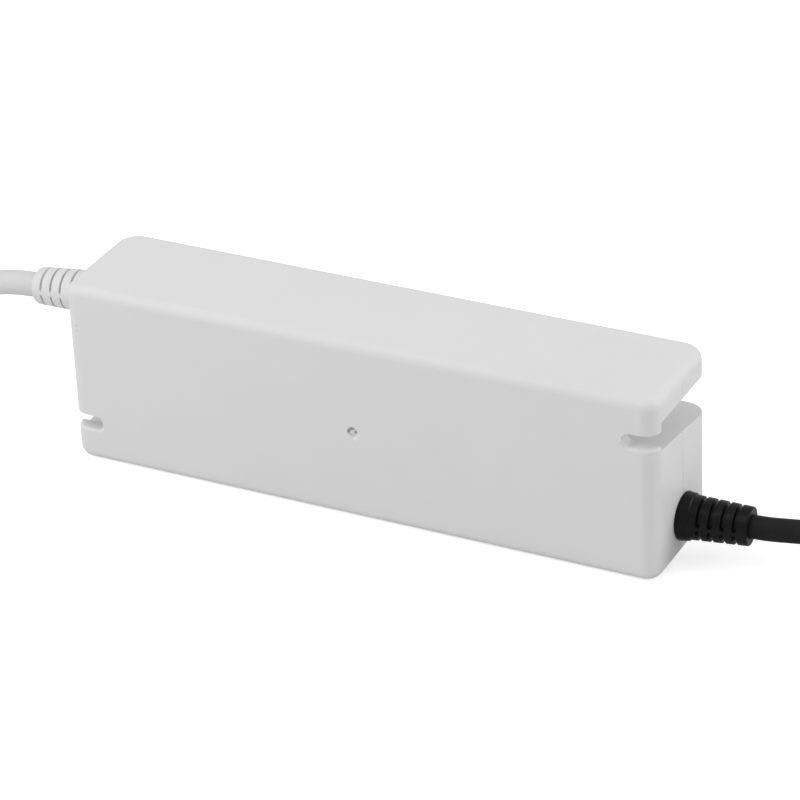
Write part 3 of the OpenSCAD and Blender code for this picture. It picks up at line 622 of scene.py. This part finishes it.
def boot_tree() -> bpy.types.NodeTree:
    """Build the tree that makes a boot: a turned profile with flex grooves repeated along it.

    The grooves stop at a web on each side, and narrow towards it.

    Returns:
        The tree.
    """
    tree = bpy.data.node_groups.new("ribbed_boot", "GeometryNodeTree")
    size = "NodeSocketFloat"
    given = sockets(tree, {
        "Rings": "NodeSocketInt", "Sides": "NodeSocketInt", "Inner End": size, "Whole Length": size,
        "Largest Radius": size, "Last Groove": size, "Groove Pitch": size, "Groove Count": size,
        "Groove Width": size, "Groove Depth": size, "Groove Ease": size, "Web Width": size, "Web Flare": size,
        "Web Lift": size, "Material": "NodeSocketMaterial"}).outputs

    sheet = add(tree, "GeometryNodeMeshGrid", {
        "Size X": 1.0, "Size Y": 1.0, "Vertices X": given["Sides"], "Vertices Y": given["Rings"]})
    place = add(tree, "ShaderNodeSeparateXYZ", {"Vector": add(tree, "GeometryNodeInputPosition").outputs[0]})
    known: dict[str, Any] = {socket.name: socket for socket in given} | {
        "x": place.outputs["X"], "y": place.outputs["Y"]}
    # Each row makes one value from up to three others: its name, then the operation, then what it works on. A
    # soft step runs from 0 at the second of them to 1 at the third.
    for name, operation, *parts in (
            ("share", "ADD", "x", 0.5), ("turn", "MULTIPLY", "share", math.tau), ("row", "ADD", "y", 0.5),
            ("axial", "CURVE", "row"), ("radial", "CURVE", "row"),
            ("up", "SINE", "turn"), ("across", "COSINE", "turn"),
            ("reach", "MULTIPLY", "axial", "Whole Length"), ("along", "ADD", "reach", "Inner End"),
            ("radius", "MULTIPLY", "radial", "Largest Radius"),
            ("height", "MULTIPLY", "radius", "up"), ("above web", "SUBTRACT", "height", "Web Lift"),
            ("from web", "ABSOLUTE", "above web"),
            ("web edge", "DIVIDE", "Web Width", 2.0), ("flare end", "ADD", "web edge", "Web Flare"),
            ("opened", "STEP", "from web", "web edge", "flare end"),
            ("to last", "SUBTRACT", "Last Groove", "along"), ("count", "DIVIDE", "to last", "Groove Pitch"),
            ("whole", "ROUND", "count"), ("from zero", "MAXIMUM", "whole", 0.0),
            ("final", "SUBTRACT", "Groove Count", 1.0), ("nearest", "MINIMUM", "from zero", "final"),
            ("off", "SUBTRACT", "count", "nearest"), ("off size", "ABSOLUTE", "off"),
            ("away", "MULTIPLY", "off size", "Groove Pitch"),
            ("half width", "DIVIDE", "Groove Width", 2.0), ("spread", "MULTIPLY", "opened", 0.6),
            ("taper", "ADD", "spread", 0.4), ("half", "MULTIPLY", "half width", "taper"),
            ("wall foot", "SUBTRACT", "half", "Groove Ease"), ("wall head", "ADD", "half", "Groove Ease"),
            ("outside", "STEP", "away", "wall foot", "wall head"), ("inside", "SUBTRACT", 1.0, "outside"),
            ("web head", "ADD", "web edge", "Groove Ease"),
            ("clear", "STEP", "from web", "web edge", "web head"),
            ("full", "MULTIPLY", "inside", "Groove Depth"), ("depth", "MULTIPLY", "full", "clear"),
            ("cut", "SUBTRACT", "radius", "depth"), ("to side", "MULTIPLY", "cut", "across"),
            ("to top", "MULTIPLY", "cut", "up")):
        values = [known[part] if isinstance(part, str) else part for part in parts]
        if operation == "CURVE":
            node = add(tree, "ShaderNodeFloatCurve", {"Value": values[0]}, name=name)
        elif operation == "STEP":
            node = add(tree, "ShaderNodeMapRange", {
                "Value": values[0], "From Min": values[1], "From Max": values[2]},
                interpolation_type="SMOOTHSTEP")
        else:
            node = add(tree, "ShaderNodeMath", dict(enumerate(values)), operation=operation)
        known[name] = node.outputs[0]
    spot = add(tree, "ShaderNodeCombineXYZ", {
        "X": known["along"], "Y": known["to side"], "Z": known["to top"]})
    shaped = add(tree, "GeometryNodeSetPosition", {
        "Geometry": sheet.outputs["Mesh"], "Position": spot.outputs["Vector"]})
    closed = add(tree, "GeometryNodeMergeByDistance", {
        "Geometry": shaped.outputs["Geometry"], "Distance": 1e-6})
    realized = add(tree, "GeometryNodeRealizeInstances", {"Geometry": closed.outputs["Geometry"]})
    coated = add(tree, "GeometryNodeSetMaterial", {
        "Geometry": realized.outputs["Geometry"], "Material": given["Material"]})
    add(tree, "NodeGroupOutput", {"Geometry": coated.outputs["Geometry"]})
    return tree


@dataclass
class Boot:
    """Moulded boot that holds a cord in the end wall, ribbed so that it bends."""

    node: str
    exit: Vector
    side: int
    droop: float
    swing: float
    cord_diameter: float
    finish: Finish
    slot: str
    length: float = 18.2
    wall: float = 2.2
    flange_t: float = 2.0
    flange_d: float = 12.0
    neck_d: float = 9.0
    collar_d: float = 12.4
    collar_l: float = 2.2
    collar_taper: float = 0.04
    body_d: float = 11.7
    tip_d: float = 10.2
    rim: float = 0.4
    recess: float = 1.6
    recess_gap: float = 0.1
    groove_count: int = 4
    groove_pitch: float = 3.15
    groove_end: float = 3.3
    groove_w: float = 0.8
    groove_depth: float = 1.1
    groove_ease: float = 0.13
    web_w: float = 1.1
    web_flare: float = 0.5
    web_lift: float = 0.0
    rings: int = 440
    sides: int = 97

    def profile(self) -> list[Row]:
        """Work out the turned outline.

        Returns:
            Share of the rings, distance along the axis and radius of each corner, in millimetres.
        """
        inner = -self.wall - self.flange_t
        tip = self.tip_d / 2
        hole = self.cord_diameter / 2 + self.recess_gap
        soft = 0.35
        return [
            (0.0, inner, 0.0), (0.03, inner, self.flange_d / 2), (0.05, -self.wall, self.flange_d / 2),
            (0.07, -self.wall, self.neck_d / 2), (0.1, 0.0, self.neck_d / 2),
            (0.12, 0.0, self.collar_d / 2 - soft / 2), (0.14, soft, self.collar_d / 2),
            (0.21, self.collar_l - soft / 2, self.collar_d / 2 - self.collar_taper),
            (0.235, self.collar_l + soft / 2, self.body_d / 2),
            (0.84, self.length - self.rim, tip), (0.86, self.length - 0.3 * self.rim, tip - 0.3 * self.rim),
            (0.88, self.length, tip - self.rim), (0.94, self.length, hole + 0.1),
            (0.95, self.length - 0.1, hole), (0.98, self.length - self.recess, hole),
            (1.0, self.length - self.recess, 0.0)]

    def shape(self, tree: bpy.types.NodeTree) -> None:
        """Write the turned outline into the tree's two curves.

        Args:
            tree: Tree of a boot.
        """
        rows = self.profile()
        whole = self.length + self.wall + self.flange_t
        for name, heights in (
                ("axial", [(row, (s + self.wall + self.flange_t) / whole) for row, s, _ in rows]),
                ("radial", [(row, r / (self.collar_d / 2)) for row, _, r in rows])):
            mapping = tree.nodes[name].mapping
            mapping.use_clip = False
            knots = mapping.curves[0].points
            while len(knots) < len(heights):
                knots.new(0.5, 0.5)
            for knot, height in zip(knots, heights):
                knot.location = height
                knot.handle_type = "VECTOR"
            mapping.update()

    def lean(self, point: Vector) -> Vector:
        """Bend a point of the straight boot to its droop and swing, and set it in the end wall.

        Args:
            point: Point in metres, with the boot along +X from its exit.

        Returns:
            The point in the row frame.
        """
        share = min(max(point.x / (self.collar_l * MM), 0.0), 1.0)
        turn = Euler((0, math.radians(self.droop) * share, math.radians(self.swing) * share)).to_matrix()
        face = Matrix.Rotation(0 if self.side > 0 else math.pi, 3, "Z")
        return self.exit * MM + face @ (turn @ point)

    def build(self, tree: bpy.types.NodeTree) -> bpy.types.Object:
        """Grow the boot and bend it to its place.

        Args:
            tree: Tree of a boot.

        Returns:
            The boot as one closed mesh.
        """
        self.shape(tree)
        mesh = grown(self.node + "_ribbed", bpy.data.meshes.new("seed"), tree, {
            "Rings": self.rings, "Sides": self.sides, "Inner End": -(self.wall + self.flange_t) * MM,
            "Whole Length": (self.length + self.wall + self.flange_t) * MM,
            "Largest Radius": self.collar_d / 2 * MM, "Last Groove": (self.length - self.groove_end) * MM,
            "Groove Pitch": self.groove_pitch * MM, "Groove Count": float(self.groove_count),
            "Groove Width": self.groove_w * MM, "Groove Depth": self.groove_depth * MM,
            "Groove Ease": self.groove_ease * MM, "Web Width": self.web_w * MM,
            "Web Flare": self.web_flare * MM, "Web Lift": self.web_lift * MM,
            "Material": self.finish.material()})
        for vertex in mesh.vertices:
            vertex.co = self.lean(vertex.co)
        outward(mesh)
        smooth(mesh, 50)
        return settle(link(self.node + "_ribbed", mesh), self.slot, self.node)


def outward(mesh: bpy.types.Mesh) -> None:
    """Merge a mesh's doubles and turn all its faces outwards.

    Args:
        mesh: The mesh.
    """
    work = bmesh.new()
    work.from_mesh(mesh)
    bmesh.ops.remove_doubles(work, verts=work.verts, dist=1e-7)
    bmesh.ops.recalc_face_normals(work, faces=work.faces)
    work.to_mesh(mesh)
    work.free()


@dataclass
class Shell:
    """Half of the moulded housing, with the soft edges that the tool leaves."""

    node: str
    seam_y: float = 0.0
    half_length: float = 85.0
    half_depth: float = 17.5
    height: float = 52.0
    pocket_reach: float = 12.5
    pocket_low: float = 34.5
    pocket_high: float = 45.5
    slot_rise: float = 40.4
    flange_back: float = 4.2
    lip: float = 0.9
    lip_drop: float = 0.6
    edge: float = 0.3
    seam_edge: float = 0.28
    round_steps: int = 4
    sharp_from: float = 38.0
    flat_within: float = 0.4
    tiny_edge: float = 0.06
    near: float = 0.01
    scar_at: Vector | None = None
    scar_radius: float = 0.8

    def in_pocket(self, point: Vector) -> bool:
        """Tell whether a point lies near one of the screw pockets or slots.

        Args:
            point: Point in millimetres.

        Returns:
            True near a pocket or slot.
        """
        rise = point.z if point.x > 0 else self.height - point.z
        at_end = abs(point.x) > self.half_length - self.pocket_reach
        return at_end and self.pocket_low < rise < self.pocket_high

    def width(self, edge: bmesh.types.BMEdge) -> float:
        """Work out how far an edge is rounded.

        Args:
            edge: Edge of the merged CAD mesh.

        Returns:
            Width of the rounding in millimetres, or 0 for an edge that stays sharp.
        """
        if len(edge.link_faces) != 2 or edge.calc_face_angle(0.0) < math.radians(self.sharp_from):
            return 0.0
        middle = (edge.verts[0].co + edge.verts[1].co) / 2 / MM
        if all(abs(v.co.y / MM - self.seam_y) < self.near for v in edge.verts):
            at_end = all(abs(v.co.x / MM) > self.half_length - self.near for v in edge.verts)
            return self.seam_edge if at_end else 0.0
        if not edge.is_convex or not self.in_pocket(middle):
            return 0.0
        if middle.y >= -self.half_depth + self.flange_back:
            return self.edge
        # A slot has its broad lip on the lower edge only, and the rest of its rim is sharp.
        slot_z = self.slot_rise if middle.x > 0 else self.height - self.slot_rise
        return self.lip if middle.z < slot_z - self.lip_drop else 0.0

    def add_scar(self, work: bmesh.types.BMesh) -> None:
        """Add the ragged stub that the broken-off gate leaves in its dimple.

        Args:
            work: Mesh of the shell.
        """
        for vertex in bmesh.ops.create_icosphere(work, subdivisions=4, radius=1.0)["verts"]:
            x, y, z = vertex.co
            swell = 1 + 0.2 * math.sin(5 * x + 1.3) * math.cos(4 * z) + 0.16 * math.sin(9 * z + 4 * x + 0.5)
            vertex.co = (self.scar_at + Vector((x, 0.55 * y, 0.85 * z)) * (self.scar_radius * swell)) * MM

    def build(self, finish: Finish, slot: str) -> bpy.types.Object:
        """Copy the CAD shell, merge it and round its edges.

        Args:
            finish: Finish of the moulding.
            slot: Material slot of the record.

        Returns:
            The shell as one mesh.
        """
        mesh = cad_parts[self.node].data.copy()
        work = bmesh.new()
        work.from_mesh(mesh)
        bmesh.ops.remove_doubles(work, verts=work.verts, dist=2e-6)
        bmesh.ops.dissolve_degenerate(work, dist=self.tiny_edge * MM, edges=work.edges)
        bmesh.ops.dissolve_limit(
            work, angle_limit=math.radians(self.flat_within), verts=work.verts, edges=work.edges)
        weight = work.edges.layers.float.new("bevel_weight_edge")
        for edge in work.edges:
            edge[weight] = self.width(edge) / self.lip
        work.to_mesh(mesh)
        work.free()
        holder = link(self.node + "_holder", mesh)
        bevel = holder.modifiers.new("soft_edges", "BEVEL")
        bevel.limit_method, bevel.offset_type = "WEIGHT", "OFFSET"
        bevel.width, bevel.segments, bevel.use_clamp_overlap = self.lip * MM, self.round_steps, False
        mesh = plain(self.node + "_moulded", holder)
        work = bmesh.new()
        work.from_mesh(mesh)
        bmesh.ops.remove_doubles(work, verts=work.verts, dist=1e-6)
        if self.scar_at is not None:
            self.add_scar(work)
        work.to_mesh(mesh)
        work.free()
        even_shading(mesh, 40)
        return settle(link(self.node + "_moulded", mesh, finish), slot, self.node)


@dataclass
class Inside:
    """Board, wires and components behind the walls, each with the finish of the real one."""

    finishes: dict[str, Finish] = field(default_factory=lambda: {
        "circuit_board": GLASS_EPOXY, "board_screws": PLATED_STEEL, "live_wire": BROWN_CORE,
        "neutral_wire": BLUE_CORE, "earth_wire": GREEN_CORE, "positive_wire": RED_CORE,
        "negative_wire": BLACK_CORE, "fuse": DARK_EPOXY, "varistor": BLUE_DIP, "thermistor": GREEN_DIP,
        "x_capacitor": YELLOW_BOX, "choke_core": FERRITE, "choke_windings": COPPER_TURNS,
        "bridge_rectifier": DARK_EPOXY, "bulk_capacitor": CAN_SLEEVE, "transistor_heatsink": SINK_ALUMINIUM,
        "switching_transistor": DARK_EPOXY, "transistor_screw": PLATED_STEEL,
        "transformer_bobbin": BOBBIN_PBT, "transformer_winding": WINDING_TAPE,
        "transformer_core_lower": FERRITE, "transformer_core_upper": FERRITE, "y_capacitor": BLUE_DIP,
        "optocoupler": PALE_EPOXY, "controller_chip": DARK_EPOXY, "diode_heatsink": SINK_ALUMINIUM,
        "output_diode": DARK_EPOXY, "diode_screw": PLATED_STEEL, "output_capacitors": CAN_SLEEVE,
        "inductor_core": FERRITE, "inductor_winding": COPPER_TURNS, "resistors": TAN_LACQUER})

    def dress(self) -> None:
        """Give each CAD node its finish."""
        for node, finish in self.finishes.items():
            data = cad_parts[node].data
            data.materials.clear()
            data.materials.append(finish.material())


@dataclass
class Studio:
    """Camera at the photograph's viewpoint, pale floor and soft light."""

    azimuth: float = 28.02
    elevation: float = 29.25
    roll: float = -2.74
    distance: float = 1022.6
    lens: float = 176.274
    shift_right: float = -4.487
    shift_up: float = -0.304
    aim_height: float = 26.0
    floor_colour: str = "#e6e6e6"
    floor_lift: float = 0.58
    floor_half: float = 6000.0
    floor_drop: float = 0.02
    sky_strength: float = 0.585

    def camera(self) -> None:
        """Make the camera and let the scene use it."""
        az, el, roll = (math.radians(a) for a in (self.azimuth, self.elevation, self.roll))
        back = Vector((math.sin(az) * math.cos(el), -math.cos(az) * math.cos(el), math.sin(el)))
        level = Vector((math.cos(az), math.sin(az), 0))
        rise = back.cross(level)
        right = math.cos(roll) * level + math.sin(roll) * rise
        up = math.cos(roll) * rise - math.sin(roll) * level
        aim = Vector((0, 0, self.aim_height))
        eye = aim + back * self.distance - right * self.shift_right - up * self.shift_up
        data = bpy.data.cameras.new("camera")
        data.lens = self.lens
        data.sensor_width = 36.0
        data.clip_start, data.clip_end = 0.01, 50.0
        camera = link("camera", data)
        turn = Matrix((right, up, back)).transposed().to_4x4()
        camera.matrix_world = Matrix.Translation(eye * MM) @ turn
        bpy.context.scene.camera = camera

    def floor(self) -> None:
        """Make the pale floor, which shows white and keeps the object's shadow."""
        mesh = bpy.data.meshes.new("floor")
        half, low = self.floor_half * MM, -self.floor_drop * MM
        corners = [(-half, -half, low), (half, -half, low), (half, half, low), (-half, half, low)]
        mesh.from_pydata(corners, [], [(0, 1, 2, 3)])
        paint = bpy.data.materials.new("pale_floor")
        paint.use_nodes = True
        tree = paint.node_tree
        tree.nodes.clear()
        matt = add(tree, "ShaderNodeBsdfDiffuse", {"Color": linear(self.floor_colour)})
        lift = add(tree, "ShaderNodeMath", {
            0: add(tree, "ShaderNodeLightPath").outputs["Is Camera Ray"], 1: self.floor_lift},
            operation="MULTIPLY")
        glow = add(tree, "ShaderNodeEmission", {"Color": (1, 1, 1, 1), "Strength": lift.outputs[0]})
        shader = add(tree, "ShaderNodeAddShader", {0: matt.outputs["BSDF"], 1: glow.outputs["Emission"]})
        add(tree, "ShaderNodeOutputMaterial", {"Surface": shader.outputs["Shader"]})
        mesh.materials.append(paint)
        link("floor", mesh)

    def sky(self) -> None:
        """Make the world: even light on the object, white where the camera sees it."""
        world = bpy.data.worlds.new("studio")
        bpy.context.scene.world = world
        world.use_nodes = True
        tree = world.node_tree
        tree.nodes.clear()
        light = add(tree, "ShaderNodeMapRange", {
            "Value": add(tree, "ShaderNodeLightPath").outputs["Is Camera Ray"], "To Min": self.sky_strength,
            "To Max": 1.0})
        glow = add(tree, "ShaderNodeBackground", {"Color": (1, 1, 1, 1), "Strength": light.outputs["Result"]})
        add(tree, "ShaderNodeOutputWorld", {"Surface": glow.outputs["Background"]})

    def lamp(self, name: str, place: Row, size: float, watts: float) -> None:
        """Hang a square soft lamp that faces the object.

        Args:
            name: Name of the lamp.
            place: Its middle in metres.
            size: Side of the square in metres.
            watts: Its power.
        """
        data = bpy.data.lights.new(name, "AREA")
        data.shape = "SQUARE"
        data.size = size
        data.energy = watts
        lamp = link(name, data)
        lamp.location = place
        lamp.rotation_mode = "QUATERNION"
        lamp.rotation_quaternion = (Vector((0, 0, 0.03)) - lamp.location).to_track_quat("-Z", "Y")

    def light(self) -> None:
        """Hang the lamps: one broad lamp above the front left and a weaker one on each side."""
        self.lamp("overhead", (-0.45, -0.45, 1.15), 1.0, 4.75)
        self.lamp("left_fill", (-0.4, -0.3, 0.2), 0.3, 0.31)
        self.lamp("right_fill", (1.0, 0.6, 0.55), 0.8, 4.55)

    def build(self) -> None:
        """Make the whole studio, camera first."""
        bpy.context.scene.view_settings.view_transform = "Standard"
        self.camera()
        self.floor()
        self.sky()
        self.light()


# Routes of the cords and cores: distance out, distance back and share of the start's height.
MAINS_ROWS: tuple[Row, ...] = (
    (1, 0, 0.998), (8, 0, 0.983), (14, 0, 0.955), (20, 0.4, 0.9), (26, 1.3, 0.815), (31, 2.6, 0.7),
    (35, 4, 0.575), (39, 5.6, 0.44), (43, 7.4, 0.31), (48, 9.7, 0.185), (54, 12.3, 0.085), (60, 14.3, 0.025),
    (66, 15.3, 0.003), (72, 15.5, 0), (79.7, 14.4, 0), (88.5, 10, 0), (94, 4.5, 0), (98.4, -4.3, 0),
    (99.5, -12, 0), (98.4, -19.7, 0), (94, -28.5, 0), (88.5, -34, 0), (79.7, -38.4, 0), (72, -39.5, 0),
    (65, -39.5, 0), (58, -39.5, 0))
OUTPUT_ROWS: tuple[Row, ...] = (
    (1, 0.1, 1), (6, 0.6, 1), (11, 1.8, 0.995), (16, 3.3, 0.97), (22, 5.2, 0.89), (29, 7.4, 0.72),
    (37, 9.5, 0.47), (45, 11, 0.22), (53, 11.8, 0.06), (61, 12, 0), (70, 12, 0), (77, 11, 0), (85, 7, 0),
    (90, 2, 0), (94, -6, 0), (95, -13, 0), (94, -20, 0), (90, -28, 0), (85, -33, 0), (77, -37, 0),
    (70, -38, 0), (66, -38, 0))
LIVE_ROWS: tuple[Row, ...] = (
    (3, 0, 1), (9, 0.2, 0.7), (15, 0.8, 0.25), (21, 1.4, 0), (28, 1.6, 0), (35, 1.6, 0))
NEUTRAL_ROWS: tuple[Row, ...] = (
    (3, 0, 1), (9, -0.1, 0.3), (15, -0.3, 0), (21, -0.4, 0), (28, -0.4, 0), (35, -0.4, 0))
EARTH_ROWS: tuple[Row, ...] = ((3, 0, 1), (9, 1, 0.3), (15, 2.2, 0), (21, 3.2, 0), (28, 3.8, 0), (35, 4, 0))
POSITIVE_ROWS: tuple[Row, ...] = ((3, 0, 1), (9, 0.8, 0.4), (14, 1.8, 0), (19, 2.2, 0), (24, 2.2, 0))
NEGATIVE_ROWS: tuple[Row, ...] = ((3, 0, 1), (9, -0.8, 0.4), (14, -1.8, 0), (19, -2.2, 0), (24, -2.2, 0))
# Places of the cores round the middle of a cord's end, in millimetres.
LAY_Y, LAY_LOW, LAY_HIGH = 1.25, 0.72, 1.45
MAINS_ACROSS, OUTPUT_ACROSS = 6.8, 6.2
MAINS_DROOP, OUTPUT_SWING = 4.0, 5.0


def main() -> None:
    """Build the studio, the cords and the rest of the driver in order, and report them."""
    logging.basicConfig(level=logging.INFO, format="%(name)s: %(message)s")
    Studio().build()
    mains_exit, output_exit = Vector((-85, 0, 41.1)), Vector((85, 0, 11))
    held = Boot.length - Boot.recess
    droop, swing = math.radians(MAINS_DROOP), math.radians(OUTPUT_SWING)
    mains = CordLead(
        "mains_cord", -1, mains_exit + held * Vector((-math.cos(droop), 0, -math.sin(droop))), MAINS_ACROSS,
        MAINS_ROWS, WHITE_JACKET, "white_cord", length=187)
    output = CordLead(
        "output_cord", 1, output_exit + held * Vector((math.cos(swing), math.sin(swing), 0)), OUTPUT_ACROSS,
        OUTPUT_ROWS, BLACK_JACKET, "black_cord", length=155)
    mains_piece, output_piece = mains.build(), output.build()
    cores = core_tree()
    at_mains, at_output = mains.end(), output.end()
    mains_ends = [end.build(cores) for end in (
        CoreEnd("mains_live_end", at_mains + Vector((0, 0, LAY_HIGH)) * MM, 1, LIVE_ROWS, BROWN_CORE,
                "brown_core"),
        CoreEnd("mains_neutral_end", at_mains - Vector((0, LAY_Y, LAY_LOW)) * MM, 1, NEUTRAL_ROWS, BLUE_CORE,
                "blue_core"),
        CoreEnd("mains_earth_end", at_mains + Vector((0, LAY_Y, -LAY_LOW)) * MM, 1, EARTH_ROWS, GREEN_CORE,
                "green_core"))]
    output_ends = [end.build(cores) for end in (
        CoreEnd("output_positive_end", at_output + Vector((0, LAY_Y, 0)) * MM, -1, POSITIVE_ROWS, RED_CORE,
                "red_core"),
        CoreEnd("output_negative_end", at_output - Vector((0, LAY_Y, 0)) * MM, -1, NEGATIVE_ROWS, BLACK_CORE,
                "black_core"))]
    ribs = boot_tree()
    mains_boot = Boot(
        "mains_boot", mains_exit, -1, MAINS_DROOP, 0.0, MAINS_ACROSS, WHITE_PVC, "white_cord", rim=1.0,
        groove_w=0.55, groove_depth=1.9, groove_ease=0.05, web_w=1.5, web_lift=0.55).build(ribs)
    output_boot = Boot(
        "output_boot", output_exit, 1, 0.0, OUTPUT_SWING, OUTPUT_ACROSS, BLACK_PVC, "black_cord",
        collar_d=13.0, collar_l=2.8, collar_taper=0.3, groove_w=1.0).build(ribs)
    base = Shell("base_shell", scar_at=Vector((0.1, -17.0, 26.0))).build(CASE_ABS, "white_case")
    cover = Shell("cover_shell").build(CASE_ABS, "white_case")
    inside = Inside()
    inside.dress()
    for piece in (mains_piece, output_piece, *mains_ends, *output_ends, mains_boot, output_boot, base, cover):
        LOG.info("piece %s takes %s", piece.name, ", ".join(m.name for m in piece.data.materials))
    for node, finish in inside.finishes.items():
        LOG.info("node %s takes %s", node, finish.name)


if __name__ == "__main__":
    main()
